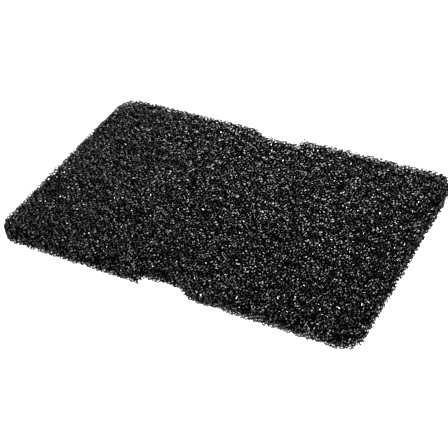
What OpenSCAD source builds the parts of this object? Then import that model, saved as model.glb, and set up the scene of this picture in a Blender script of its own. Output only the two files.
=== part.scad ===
// Foam air filter element: one flat pad of open-cell foam, die-cut from sheet.
// The plan is a rounded rectangle with one shallow notch in each long side.
// Each notch has one square end and one sloping end, and the second notch is
// the first turned half a turn, so the pad fits its frame either end first.
//
// Frame: origin at the centre of the underside, +X along the long sides,
// +Z up through the thickness. The pad lies flat on z = 0. Millimetres.

/* [Pad] */
// Length along the long sides
pad_length = 240; // [200:1:280]
// Width across the short sides
pad_width = 150; // [120:1:180]
// Thickness of the foam sheet
pad_thickness = 11; // [6:0.5:20]
// Radius of the four rounded corners, in plan
corner_radius = 12; // [4:0.5:20]

/* [Notches] */
// Length of a notch at its mouth, on the pad's edge
notch_mouth = 34; // [32:0.5:60]
// Length of a notch along its floor
notch_floor = 25; // [12:0.5:30]
// Depth of a notch from the pad's edge
notch_depth = 6; // [2:0.5:12]

/* [Hidden] */
// Segments of a full circle, for the corners
$fn = 96;
// How far the notch cutter reaches past the pad's edge
past_edge = 1;

// Rounded rectangle: two crossed bars and a disc in each corner
module pad_plan() {
    square([pad_length - 2 * corner_radius, pad_width], center = true);
    square([pad_length, pad_width - 2 * corner_radius], center = true);
    for (side_x = [-1, 1], side_y = [-1, 1])
        translate([side_x * (pad_length / 2 - corner_radius), side_y * (pad_width / 2 - corner_radius)])
            circle(r = corner_radius);
}

// Notch in the front edge: square end at -X, sloping end at +X
module notch_plan() {
    edge_y = -pad_width / 2;
    square_x = -notch_mouth / 2;
    slope_x = square_x + notch_floor;
    polygon([
        [square_x, edge_y - past_edge],
        [notch_mouth / 2, edge_y - past_edge],
        [notch_mouth / 2, edge_y],
        [slope_x, edge_y + notch_depth],
        [square_x, edge_y + notch_depth]
    ]);
}

// The whole element: sheet foam with the plan cut straight through
module foam_pad() {
    color([0.05, 0.052, 0.048])
        linear_extrude(height = pad_thickness)
            difference() {
                pad_plan();
                for (turn = [0, 180])
                    rotate(turn)
                        notch_plan();
            }
}

foam_pad();
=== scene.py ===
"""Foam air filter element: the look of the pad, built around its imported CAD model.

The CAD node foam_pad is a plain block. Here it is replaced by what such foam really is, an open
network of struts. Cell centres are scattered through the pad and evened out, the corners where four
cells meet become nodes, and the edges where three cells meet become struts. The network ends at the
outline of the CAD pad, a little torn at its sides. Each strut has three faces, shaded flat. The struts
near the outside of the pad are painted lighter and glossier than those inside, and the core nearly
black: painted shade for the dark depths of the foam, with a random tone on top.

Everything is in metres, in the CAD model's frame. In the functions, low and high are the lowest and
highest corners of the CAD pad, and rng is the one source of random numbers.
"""

import itertools
import math

import bpy
import numpy as np
from mathutils import Matrix, Vector

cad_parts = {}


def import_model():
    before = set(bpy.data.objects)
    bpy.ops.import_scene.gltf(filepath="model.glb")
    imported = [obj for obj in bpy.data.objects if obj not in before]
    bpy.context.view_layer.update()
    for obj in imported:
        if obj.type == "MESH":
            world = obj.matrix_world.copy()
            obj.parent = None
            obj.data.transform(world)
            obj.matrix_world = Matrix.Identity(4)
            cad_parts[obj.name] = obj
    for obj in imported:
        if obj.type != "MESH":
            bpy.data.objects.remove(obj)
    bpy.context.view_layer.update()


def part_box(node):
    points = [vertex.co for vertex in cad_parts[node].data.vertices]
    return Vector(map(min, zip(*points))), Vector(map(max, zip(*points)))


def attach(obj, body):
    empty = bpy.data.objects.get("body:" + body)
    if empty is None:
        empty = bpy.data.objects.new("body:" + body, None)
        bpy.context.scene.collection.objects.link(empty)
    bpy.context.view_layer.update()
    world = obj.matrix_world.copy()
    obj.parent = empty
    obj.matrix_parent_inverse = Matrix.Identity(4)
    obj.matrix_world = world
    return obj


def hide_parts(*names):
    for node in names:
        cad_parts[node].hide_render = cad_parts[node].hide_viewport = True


MM = 0.001
SEED = 20

# The pad's plan, as in part.scad. Its overall size comes from the frame.
CORNER_RADIUS = 12 * MM
NOTCH_MOUTH = 34 * MM
NOTCH_FLOOR = 25 * MM
NOTCH_DEPTH = 6 * MM

# The network of cells
LATTICE_EDGE = 2.6 * MM  # two cells fill a cube of this edge, so a cell is about 2.5 mm across
LATTICE_TURN = (25, 38, 10)  # degrees about X, Y and Z, so that no row of cells runs along a face
SCATTER = 0.25  # how far a cell's centre strays from the lattice, in lattice edges
WARP_SIZE = 0.7 * MM  # slow bending of the rows of cells
WARP_LENGTH = 26 * MM
RIPPLE_SIZE = 0.3 * MM  # a quicker bending on top of it
RIPPLE_LENGTH = 11 * MM
MARGIN = 3.5 * MM  # how far past the pad's faces there are cells, so that those at a face are whole
EVEN_STEPS = 3  # times that each cell's centre moves to the middle of the cell's corners
STILL_BAND = 0.6  # cells this near to the end of the margin, in lattice edges, stay where they are
FEWEST_CORNERS = 16  # and so does a cell with fewer corners than this, because it is not whole
RELAX_STEPS = 2  # times that each node moves part of the way to the middle of its neighbours
RELAX_SHARE = 0.5

# Which cells can meet. A step between two cells is counted in half lattice edges, and these are
# squared lengths of steps.
MEETING_STEPS = (3, 4, 8, 11)  # between cells that may share a node
NEAR_STEPS = (3, 4)  # to a cell's 14 nearest neighbours
FAR_STEPS = (8, 11, 12, 16)  # to the further ones that may still lie in the sphere through a group
WIDEST_GROUP = 36  # sum for the six steps within a group of four cells, 20 in the plain lattice
FLAT_VOLUME = 1e-18  # stands in for the volume of a group that lies in one plane
ROUNDING = 1e-9  # share of a squared radius within which a cell counts as on the sphere
CELL_BITS = 20  # bits that hold the number of a cell

# The struts
NODE_RADIUS = 0.37 * MM  # from a node to the corners of its hub
NODE_SPREAD = 0.2  # how much node radii differ, either way
FRAY_DEPTH = 3 * MM  # how far in from the pad's sides a node may be torn away
FRAY_POWER = 4  # the higher it is, the nearer to the sides the torn nodes stay
STUB_SHORTEST = 0.6  # the shortest cut end of a strut, as a share of the way to the pad's face
HALVINGS = 12  # steps of the search for the place where a strut leaves the pad

# Painted shade of the strut faces: copies of one black foam, darkest and dullest in the core and lighter
# and glossier outwards. Columns: name, grey, specular level and bloom
PAINTED_SHADE_MATERIALS = (
    ("foam_painted_shade_core", 0.001, 0, 0),
    ("foam_painted_shade_inner", 0.002, 0.02, 0.1),
    ("foam_painted_light_outer", 0.006, 0.5, 0.25),
    ("foam_painted_light_face", 0.012, 0.85, 0.4),
)
ROUGHNESS = 0.3
SHADE_DEPTH = 0.8 * MM  # depth below the pad's surface over which the painted shade changes by one unit
SHADE_SPREAD = 1.3  # random part of the painted shade, a random tone, in the same unit
SHADE_LEVELS = (0.5, 1.0, 1.5)  # where the painted shades of the face, the outer layer and the inner layer end, lightest first

# Bloom: a faint dry sheen on the struts, in fine specks gathered in broad clouds
BLOOM_TINT = (0.75, 0.85, 0.7, 1)
BLOOM_ROUGHNESS = 0.4
SPECK_SIZE = 1.2 * MM
SPECK_DETAIL = 2
SPECK_RANGE = (0.4, 0.65)
CLOUD_SIZE = 30 * MM
CLOUD_DETAIL = 3
CLOUD_RANGE = (0.3, 0.7)
CLOUD_LOW = 0.3  # bloom between the clouds, as a share of the bloom in them

# Pieces that the network is split into, along X and Y
TILES = (6, 4)

# Lamps: name, azimuth and height in degrees, beam spread in degrees, watts, and aim from the middle
LAMPS = (
    ("back_light", 205, 40, 180, 21, (0, 0, 0)),
    ("right_light", 80, 25, 180, 32, (0, 0, 0)),
    ("front_light", -50, 30, 14, 2.9, (-0.02, -0.03, 0)),
)
LAMP_DISTANCE = 1.2
LAMP_SIZE = 0.5
LAMP_TINT = (0.96, 1, 0.985)

# Surroundings: a pale floor, a white horizon and a dim sky above it
WHITE = (1, 1, 1, 1)
FLOOR_SIZE = 6
FLOOR_COLOUR = (0.9, 0.9, 0.9, 1)
FLOOR_ROUGHNESS = 0.9
FLOOR_GLOW = 0.7
HORIZON = 1.0
HORIZON_TOP = 20  # degrees up, where the sky starts to dim
SKY = 0.15
SKY_START = 35  # degrees up, where it has dimmed fully

# Camera
VIEW_AZIMUTH = 33.85
VIEW_HEIGHT = 40.7
VIEW_ROLL = -7.6
VIEW_DISTANCE = 0.6621
VIEW_AIM = (0.0069, -0.0137, 0)
LENS = 88.4


# ---------------------------------------------------------------- cell centres


def squared_length(step):
    """The squared length of a step between two cells."""
    return sum(part * part for part in step)


def lattice_steps(squares):
    """All steps between cells of the body-centred lattice that have one of these squared lengths."""
    reach = math.isqrt(max(squares))
    return [
        step
        for step in itertools.product(range(-reach, reach + 1), repeat=3)
        if len({part % 2 for part in step}) == 1 and squared_length(step) in squares
    ]


def turn_matrix():
    """The lattice's rotation, as a 3 by 3 array."""
    turn = Matrix.Identity(3)
    for axis, angle in zip("XYZ", LATTICE_TURN):
        turn = Matrix.Rotation(math.radians(angle), 3, axis) @ turn
    return np.array(turn)


def warp(points):
    """The points, shifted slowly and smoothly from place to place, which bends the lattice's rows.

    The uneven factors and starts of the waves keep them from lining up with each other.
    """
    x, y, z = (points * (2 * math.pi / WARP_LENGTH)).T
    shift = np.stack(
        [
            np.sin(y + 1.3 * z) + 0.6 * np.sin(1.7 * y - 0.4 * x + 2.0),
            np.sin(0.9 * x - z + 0.7) + 0.6 * np.sin(1.9 * x + 0.5 * y + 4.0),
            np.sin(0.8 * x + 0.7 * y + 3.1),
        ],
        axis=1,
    )
    x, y, z = (points * (2 * math.pi / RIPPLE_LENGTH)).T
    ripple = np.stack(
        [np.sin(y + 2.1 * z + 1.0), np.sin(1.2 * z - x + 2.6), np.sin(x + 0.8 * y + 0.3)],
        axis=1,
    )
    return points + WARP_SIZE * shift + RIPPLE_SIZE * ripple


def scatter_cells(low, high, rng):
    """Cell centres in the box, and a lookup from a lattice step to each cell's neighbour there."""
    half_edge = LATTICE_EDGE / 2
    turn = turn_matrix()
    middle = (low + high) / 2
    reach = (high - low) / 2 + MARGIN
    corners = np.array(list(itertools.product((-1, 1), repeat=3))) * reach
    spread = corners @ turn / half_edge
    first = np.floor(spread.min(0)).astype(int) - 1
    last = np.ceil(spread.max(0)).astype(int) + 2
    axes = [np.arange(a, b) for a, b in zip(first, last)]
    sites = np.stack(np.meshgrid(*axes, indexing="ij"), -1).reshape(-1, 3)
    odd = sites % 2
    sites = sites[(odd[:, 0] == odd[:, 1]) & (odd[:, 1] == odd[:, 2])]
    centres = sites * half_edge @ turn.T
    near = (np.abs(centres) < reach).all(1)
    sites = sites[near] - first
    centres = centres[near]
    centres = centres + rng.uniform(-SCATTER, SCATTER, centres.shape) * LATTICE_EDGE
    centres = warp(centres) + middle

    grid = np.full(last - first, -1, np.int32)
    grid[tuple(sites.T)] = np.arange(len(sites))

    def neighbour(step):
        there = sites + np.array(step)
        inside = ((there >= 0) & (there < grid.shape)).all(1)
        found = np.full(len(sites), -1, np.int32)
        found[inside] = grid[tuple(there[inside].T)]
        return found

    return centres, neighbour


# ---------------------------------------------------------------- nodes and struts


def groups_of_four():
    """Steps (a, b, c) such that a cell and its neighbours at a, b and c may meet at a node."""
    meeting = lattice_steps(MEETING_STEPS)
    ahead = [step for step in meeting if step > (0, 0, 0)]

    def between(a, b):
        return tuple(p - q for p, q in zip(a, b))

    groups = []
    for a, b, c in itertools.combinations(ahead, 3):
        gaps = [between(a, b), between(a, c), between(b, c)]
        width = sum(squared_length(step) for step in [a, b, c] + gaps)
        if width <= WIDEST_GROUP and all(gap in meeting for gap in gaps):
            groups.append((a, b, c))
    return groups


def sphere_through(p, a, b, c):
    """Centre, from p, and squared radius of the sphere through four points, for many at once."""
    u, v, w = a - p, b - p, c - p
    vw, wu, uv = np.cross(v, w), np.cross(w, u), np.cross(u, v)
    volume = 2 * np.einsum("ij,ij->i", u, vw)
    volume = np.where(np.abs(volume) < FLAT_VOLUME, FLAT_VOLUME, volume)
    squares = [np.einsum("ij,ij->i", s, s)[:, None] for s in (u, v, w)]
    centre = (squares[0] * vw + squares[1] * wu + squares[2] * uv) / volume[:, None]
    return centre, np.einsum("ij,ij->i", centre, centre)


def find_nodes(centres, neighbour):
    """Where four cells meet: the empty spheres through four centres. Returns places and cells."""
    steps = lattice_steps(NEAR_STEPS) + lattice_steps(FAR_STEPS)
    table = {step: neighbour(step) for step in steps}
    largest = LATTICE_EDGE**2  # squared radius of the largest sphere that counts
    places, cells = [], []
    for group in groups_of_four():
        others = [table[step] for step in group]
        own = np.flatnonzero((others[0] >= 0) & (others[1] >= 0) & (others[2] >= 0))
        a, b, c = (centres[other[own]] for other in others)
        offset, square = sphere_through(centres[own], a, b, c)
        keep = square < largest
        own, offset, square = own[keep], offset[keep], square[keep]
        for step in steps:
            other = table[step][own]
            gap = centres[other] - centres[own] - offset
            empty = (other < 0) | (np.einsum("ij,ij->i", gap, gap) >= square * (1 - ROUNDING))
            own, offset, square = own[empty], offset[empty], square[empty]
        places.append(centres[own] + offset)
        cells.append(np.stack([own] + [other[own] for other in others], axis=1))
    places, cells = np.concatenate(places), np.sort(np.concatenate(cells), axis=1)
    return places, cells


def even_out(centres, places, cells, low, high):
    """Moves each centre to the middle of its cell's corners, so that the cells get more alike."""
    count = np.bincount(cells.ravel(), minlength=len(centres))
    sums = [np.bincount(cells.ravel(), np.repeat(places[:, axis], 4), len(centres)) for axis in range(3)]
    edge = MARGIN - LATTICE_EDGE * STILL_BAND
    whole = ((centres > low - edge) & (centres < high + edge)).all(1) & (count >= FEWEST_CORNERS)
    return np.where(whole[:, None], np.stack(sums, axis=1) / np.maximum(count, 1)[:, None], centres)


def find_struts(cells):
    """Pairs of nodes that share three cells. Returns node pairs and the side of each node, 0 to 3.

    Side k of a node faces away from the node's k-th cell.
    """
    count = len(cells)
    keys = []
    for side in range(4):
        three = np.delete(cells, side, axis=1).astype(np.int64)
        keys.append(three[:, 0] << 2 * CELL_BITS | three[:, 1] << CELL_BITS | three[:, 2])
    keys = np.concatenate(keys)
    order = np.argsort(keys, kind="stable")
    same = keys[order][1:] == keys[order][:-1]
    ends = np.stack([order[:-1][same], order[1:][same]], axis=1)
    return ends % count, ends // count


def relax(places, struts):
    """Evens out strut lengths, as surface tension does, by moving nodes towards their neighbours."""
    count = np.bincount(struts.ravel(), minlength=len(places))
    full = count == 4
    places = places.copy()
    for _ in range(RELAX_STEPS):
        total = np.zeros_like(places)
        for axis in range(3):
            for own, other in (struts.T, struts.T[::-1]):
                total[:, axis] += np.bincount(own, places[other, axis], len(places))
        middle = total[full] / 4
        places[full] += RELAX_SHARE * (middle - places[full])
    return places


# ---------------------------------------------------------------- the pad's outline


def notch_distance(x, y, half_width):
    """How far a point is outside the front notch, about, and negative inside it."""
    slope_x = NOTCH_FLOOR - NOTCH_MOUTH / 2
    run = NOTCH_MOUTH / 2 - slope_x
    length = math.hypot(run, NOTCH_DEPTH)
    into = y + half_width
    square_end = -NOTCH_MOUTH / 2 - x
    floor = into - NOTCH_DEPTH
    sloping_end = ((x - slope_x) * NOTCH_DEPTH + (into - NOTCH_DEPTH) * run) / length
    return np.maximum(np.maximum(square_end, floor), sloping_end)


def outline_distance(points, low, high):
    """How far a point is outside the pad's plan, about, and negative inside it."""
    middle = (low + high) / 2
    half = (high - low) / 2
    x, y, _ = (points - middle).T
    qx = np.abs(x) - (half[0] - CORNER_RADIUS)
    qy = np.abs(y) - (half[1] - CORNER_RADIUS)
    round_part = np.hypot(np.maximum(qx, 0), np.maximum(qy, 0))
    plan = round_part + np.minimum(np.maximum(qx, qy), 0) - CORNER_RADIUS
    plan = np.maximum(plan, -notch_distance(x, y, half[1]))
    return np.maximum(plan, -notch_distance(-x, -y, half[1]))


def pad_distance(points, low, high):
    """How far a point is outside the pad, about, and negative inside it."""
    height = np.abs(points[:, 2] - (low[2] + high[2]) / 2)
    return np.maximum(outline_distance(points, low, high), height - (high[2] - low[2]) / 2)


def share_inside(start, end, low, high):
    """How much of each line from start, inside, to end, outside, lies inside the pad."""
    near = np.zeros(len(start))
    far = np.ones(len(start))
    for _ in range(HALVINGS):
        half_way = (near + far) / 2
        inside = pad_distance(start + half_way[:, None] * (end - start), low, high) < 0
        near = np.where(inside, half_way, near)
        far = np.where(inside, far, half_way)
    return near


# ---------------------------------------------------------------- the network's faces

# The sides of a node other than its side 0, 1, 2 or 3
OTHER_SIDES = np.array([[1, 2, 3], [0, 2, 3], [0, 1, 3], [0, 1, 2]])


def make_cells(low, high, rng):
    """The evened-out cells: their centres, and the place and the four cells of each node."""
    centres, neighbour = scatter_cells(low, high, rng)
    places, cells = find_nodes(centres, neighbour)
    for _ in range(EVEN_STEPS):
        centres = even_out(centres, places, cells, low, high)
        places, cells = find_nodes(centres, neighbour)
    return centres, places, cells


def hub_corners(centres, places, cells, rng):
    """Four points around each node, towards its four cells, in one list."""
    towards = centres[cells] - places[:, None, :]
    towards /= np.linalg.norm(towards, axis=2, keepdims=True)
    radius = NODE_RADIUS * rng.uniform(1 - NODE_SPREAD, 1 + NODE_SPREAD, len(places))
    hubs = places[:, None, :] + radius[:, None, None] * towards
    return hubs.reshape(-1, 3)


def held_nodes(inside, core, struts):
    """The inside nodes that hang together with the core, without the loose bits at the pad's faces."""
    joined = struts[inside[struts].all(1)]
    held = core
    while True:
        more = held.copy()
        more[joined[held[joined[:, 0]], 1]] = True
        more[joined[held[joined[:, 1]], 0]] = True
        if (more == held).all():
            return held
        held = more


def nodes_inside(places, struts, low, high, rng):
    """Which nodes are in the pad: those inside its outline, without the torn and the loose ones."""
    torn = FRAY_DEPTH * rng.random(len(places)) ** FRAY_POWER
    depth = -pad_distance(places, low, high)
    inside = (depth > 0) & (outline_distance(places, low, high) < -torn)
    return held_nodes(inside, inside & (depth > FRAY_DEPTH), struts)


def turned(rows, which):
    """The rows, with those that are marked running the other way."""
    return np.where(which[:, None], rows[:, ::-1], rows)


def struts_inside(struts, sides, inside):
    """The struts with an end in the pad, that end first, their sides, and which are in it whole."""
    first_in, second_in = inside[struts[:, 0]], inside[struts[:, 1]]
    swap = second_in & ~first_in
    kept = first_in | second_in
    whole = (first_in & second_in)[kept]
    return turned(struts, swap)[kept], turned(sides, swap)[kept], whole


def clockwise_sides(corners):
    """Which sides of each group of four cells run clockwise seen from outside, in the cells' order."""
    a, b, c, d = corners.transpose(1, 0, 2)
    volume = np.einsum("ij,ij->i", b - a, np.cross(c - a, d - a))
    return (np.arange(4) % 2 == 1) ^ (volume < 0)[:, None]


def stub_ends(start, end, near_corners, far_corners, low, high, rng):
    """The end corners of struts that leave the pad: at its face or a random way short of it."""
    share = share_inside(start, end, low, high)
    share = (share * rng.uniform(STUB_SHORTEST, 1, len(start)))[:, None, None]
    return near_corners * (1 - share) + far_corners * share


def strut_faces(near_ring, far_ring):
    """The three faces of each strut, from the rings of corners at its ends."""
    return np.concatenate(
        [
            np.stack([near_ring[:, i], near_ring[:, j], far_ring[:, j], far_ring[:, i]], axis=1)
            for i, j in ((0, 1), (1, 2), (2, 0))
        ]
    )


def shade_number_at(places, low, high, rng):
    """The number of the painted shade at each place: 0, the darkest, in the core, and lighter and
    glossier towards a face, with a random part.
    """
    depth = -pad_distance(places, low, high)
    level = depth / SHADE_DEPTH + SHADE_SPREAD * rng.random(len(places))
    return len(SHADE_LEVELS) - np.searchsorted(SHADE_LEVELS, level)


def tile_of(places, low, high):
    """The number of the tile that each place lies in."""
    share = (places[:, :2] - low[:2]) / (high[:2] - low[:2])
    column, row = np.clip((share * TILES).astype(int), 0, np.array(TILES) - 1).T
    return column * TILES[1] + row


def bare_sides(struts, sides, joined, inside):
    """Sides of the pad's nodes that have no strut in the node's own tile, as nodes and side numbers."""
    used = np.zeros((len(inside), 4), bool)
    used[struts[:, 0], sides[:, 0]] = True
    used[struts[joined, 1], sides[joined, 1]] = True
    return np.nonzero(~used & inside[:, None])


def build_network(low, high):
    """The pad's struts: points, and faces with four and with three corners, tile and painted shade of
    each.
    """
    rng = np.random.default_rng(SEED)
    centres, places, cells = make_cells(low, high, rng)
    struts, sides = find_struts(cells)
    places = relax(places, struts)
    points = hub_corners(centres, places, cells, rng)
    inside = nodes_inside(places, struts, low, high, rng)
    struts, sides, whole = struts_inside(struts, sides, inside)

    # The three hub corners that each end of a strut starts from, in the order of the node's cells
    near_ring = struts[:, :1] * 4 + OTHER_SIDES[sides[:, 0]]
    far_ring = struts[:, 1:] * 4 + OTHER_SIDES[sides[:, 1]]

    # A strut that leaves the pad gets an end of its own
    cut = np.flatnonzero(~whole)
    start, end = places[struts[cut, 0]], places[struts[cut, 1]]
    ends = stub_ends(start, end, points[near_ring[cut]], points[far_ring[cut]], low, high, rng)
    far_ring[cut] = len(points) + np.arange(3 * len(cut)).reshape(-1, 3)
    points = np.concatenate([points, ends.reshape(-1, 3)])
    points[:, 2] = np.clip(points[:, 2], low[2], high[2])

    clockwise = clockwise_sides(centres[cells])
    flip = clockwise[struts[:, 0], sides[:, 0]]
    near_ring, far_ring = turned(near_ring, flip), turned(far_ring, flip)

    tile = tile_of(places, low, high)
    strut_tile = tile[struts[:, 0]]
    strut_middle = (points[near_ring].mean(1) + points[far_ring].mean(1)) / 2
    # Painted shade: each strut face gets a darker copy of the foam the deeper it lies, with a random
    # part
    quad_shade = shade_number_at(np.tile(strut_middle, (3, 1)), low, high, rng)
    node_shade = shade_number_at(places, low, high, rng)
    quads = strut_faces(near_ring, far_ring), np.tile(strut_tile, 3), quad_shade

    # Caps: on a strut's far end where it is cut or runs into the next tile, and on each bare side
    joined = whole & (tile[struts[:, 1]] == strut_tile)
    bare_node, bare_side = bare_sides(struts, sides, joined, inside)
    bare_ring = bare_node[:, None] * 4 + OTHER_SIDES[bare_side]
    bare_ring = turned(bare_ring, clockwise[bare_node, bare_side])
    caps = (
        np.concatenate([far_ring[~joined], bare_ring]),
        np.concatenate([strut_tile[~joined], tile[bare_node]]),
        np.concatenate([quad_shade[: len(struts)][~joined], node_shade[bare_node]]),
    )
    return points, quads, caps


# ---------------------------------------------------------------- pieces


def in_tile(faces, number):
    """The corners and the painted shades of the faces in one tile."""
    corners, tile, painted_shade = faces
    own = tile == number
    return corners[own], painted_shade[own]


def tile_mesh(name, number, points, quads, caps):
    """One tile of the network as a mesh."""
    quad_corners, quad_shade = in_tile(quads, number)
    cap_corners, cap_shade = in_tile(caps, number)
    corners = np.concatenate([quad_corners.ravel(), cap_corners.ravel()])
    used, index = np.unique(corners, return_inverse=True)
    sizes = np.concatenate([np.full(len(quad_corners), 4), np.full(len(cap_corners), 3)])
    face_shades = np.concatenate([quad_shade, cap_shade])
    mesh = bpy.data.meshes.new(name)
    mesh.vertices.add(len(used))
    mesh.vertices.foreach_set("co", points[used].astype(np.float32).ravel())
    mesh.loops.add(len(index))
    mesh.loops.foreach_set("vertex_index", index.astype(np.int32))
    mesh.polygons.add(len(sizes))
    starts = np.concatenate([[0], np.cumsum(sizes)[:-1]])
    mesh.polygons.foreach_set("loop_start", starts.astype(np.int32))
    mesh.polygons.foreach_set("use_smooth", np.zeros(len(sizes), bool))
    mesh.polygons.foreach_set("material_index", face_shades.astype(np.int32))
    mesh.update(calc_edges=True)
    return mesh


def foam(low, high, materials):
    """The whole pad: one piece for each tile, standing for the CAD block."""
    points, quads, caps = build_network(low, high)
    for number in range(TILES[0] * TILES[1]):
        name = f"foam_struts_{number + 1:02d}"
        mesh = tile_mesh(name, number, points, quads, caps)
        for material in materials:
            mesh.materials.append(material)
        piece = bpy.data.objects.new(name, mesh)
        bpy.context.collection.objects.link(piece)
        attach(piece, "root")
        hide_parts("foam_pad")


# ---------------------------------------------------------------- materials


def noise_node(tree, place, size, detail):
    """Noise whose blotches are about this many metres across."""
    noise = tree.nodes.new("ShaderNodeTexNoise")
    noise.inputs["Scale"].default_value = 1 / size
    noise.inputs["Detail"].default_value = detail
    tree.links.new(place, noise.inputs["Vector"])
    return noise.outputs["Fac"]


def range_node(tree, value, source, result):
    """The value, moved from one range to another and held inside it."""
    stretch = tree.nodes.new("ShaderNodeMapRange")
    for end, number in zip(("From Min", "From Max", "To Min", "To Max"), (*source, *result)):
        stretch.inputs[end].default_value = number
    tree.links.new(value, stretch.inputs["Value"])
    return stretch.outputs["Result"]


def multiply_node(tree, first, second):
    """The product of two values."""
    product = tree.nodes.new("ShaderNodeMath")
    product.operation = "MULTIPLY"
    tree.links.new(first, product.inputs[0])
    tree.links.new(second, product.inputs[1])
    return product.outputs["Value"]


def foam_material(name, grey, specular, bloom):
    """Black polyurethane foam in one painted shade of grey and gloss, with a faint dry bloom that comes
    and goes along the struts.
    """
    material = bpy.data.materials.new(name)
    material.use_nodes = True
    tree = material.node_tree
    shader = tree.nodes["Principled BSDF"]
    shader.inputs["Base Color"].default_value = (grey, grey, grey, 1)
    shader.inputs["Roughness"].default_value = ROUGHNESS
    shader.inputs["Specular IOR Level"].default_value = specular
    shader.inputs["Sheen Roughness"].default_value = BLOOM_ROUGHNESS
    shader.inputs["Sheen Tint"].default_value = BLOOM_TINT
    place = tree.nodes.new("ShaderNodeTexCoord").outputs["Object"]
    specks = noise_node(tree, place, SPECK_SIZE, SPECK_DETAIL)
    specks = range_node(tree, specks, SPECK_RANGE, (0, 1))
    clouds = noise_node(tree, place, CLOUD_SIZE, CLOUD_DETAIL)
    clouds = range_node(tree, clouds, CLOUD_RANGE, (CLOUD_LOW * bloom, bloom))
    tree.links.new(multiply_node(tree, specks, clouds), shader.inputs["Sheen Weight"])
    return material


def floor_material():
    """Plain pale studio floor."""
    material = bpy.data.materials.new("studio_floor")
    material.use_nodes = True
    shader = material.node_tree.nodes["Principled BSDF"]
    shader.inputs["Base Color"].default_value = FLOOR_COLOUR
    shader.inputs["Roughness"].default_value = FLOOR_ROUGHNESS
    shader.inputs["Emission Color"].default_value = WHITE
    shader.inputs["Emission Strength"].default_value = FLOOR_GLOW
    return material


# ---------------------------------------------------------------- stage, lights and camera


def floor():
    """A plain pale floor under the pad."""
    bpy.ops.mesh.primitive_plane_add(size=FLOOR_SIZE, location=(0, 0, 0))
    plane = bpy.context.object
    plane.name = "studio_floor"
    plane.data.materials.append(floor_material())


def direction(azimuth, height):
    """The way out from the pad. Azimuth 0 is in front of it, at -Y, and 90 is at +X."""
    around, up = math.radians(azimuth), math.radians(height)
    return Vector((math.sin(around) * math.cos(up), -math.cos(around) * math.cos(up), math.sin(up)))


def aim(thing, target):
    """Turns a light or camera to face a point."""
    way = target - thing.location
    thing.rotation_euler = way.to_track_quat("-Z", "Y").to_euler()


def lamp(name, azimuth, height, spread, power, offset, middle):
    """A soft square light that faces the pad."""
    light = bpy.data.lights.new(name, "AREA")
    light.size = LAMP_SIZE
    light.spread = math.radians(spread)
    light.energy = power
    light.color = LAMP_TINT
    holder = bpy.data.objects.new(name, light)
    bpy.context.collection.objects.link(holder)
    target = middle + Vector(offset)
    holder.location = target + direction(azimuth, height) * LAMP_DISTANCE
    aim(holder, target)


def surroundings():
    """White light from around the horizon and a dim sky above."""
    world = bpy.data.worlds.new("studio")
    bpy.context.scene.world = world
    world.use_nodes = True
    tree = world.node_tree
    background = tree.nodes["Background"]
    background.inputs["Color"].default_value = WHITE
    way = tree.nodes.new("ShaderNodeSeparateXYZ")
    tree.links.new(tree.nodes.new("ShaderNodeTexCoord").outputs["Generated"], way.inputs["Vector"])
    heights = [math.sin(math.radians(angle)) for angle in (HORIZON_TOP, SKY_START)]
    strength = range_node(tree, way.outputs["Z"], heights, (HORIZON, SKY))
    tree.links.new(strength, background.inputs["Strength"])


def camera(middle):
    """The view from the front and right, looking down at the pad."""
    lens = bpy.data.cameras.new("camera")
    lens.lens = LENS
    view = bpy.data.objects.new("camera", lens)
    bpy.context.collection.objects.link(view)
    target = middle + Vector(VIEW_AIM)
    view.location = target + direction(VIEW_AZIMUTH, VIEW_HEIGHT) * VIEW_DISTANCE
    aim(view, target)
    roll = Matrix.Rotation(math.radians(VIEW_ROLL), 3, "Z")
    view.rotation_euler = (view.rotation_euler.to_matrix() @ roll).to_euler()
    bpy.context.scene.camera = view


def main():
    """Builds the view, the pad, its stage and its light."""
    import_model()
    low, high = (np.array(corner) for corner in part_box("foam_pad"))
    middle = Vector((low + high) / 2)
    bpy.context.scene.view_settings.view_transform = "Standard"
    camera(middle)
    # One copy of the foam material for each painted shade, from the dark core to the lighter faces
    foam(low, high, [foam_material(*painted_shade) for painted_shade in PAINTED_SHADE_MATERIALS])
    floor()
    surroundings()
    for settings in LAMPS:
        lamp(*settings, middle)


main()
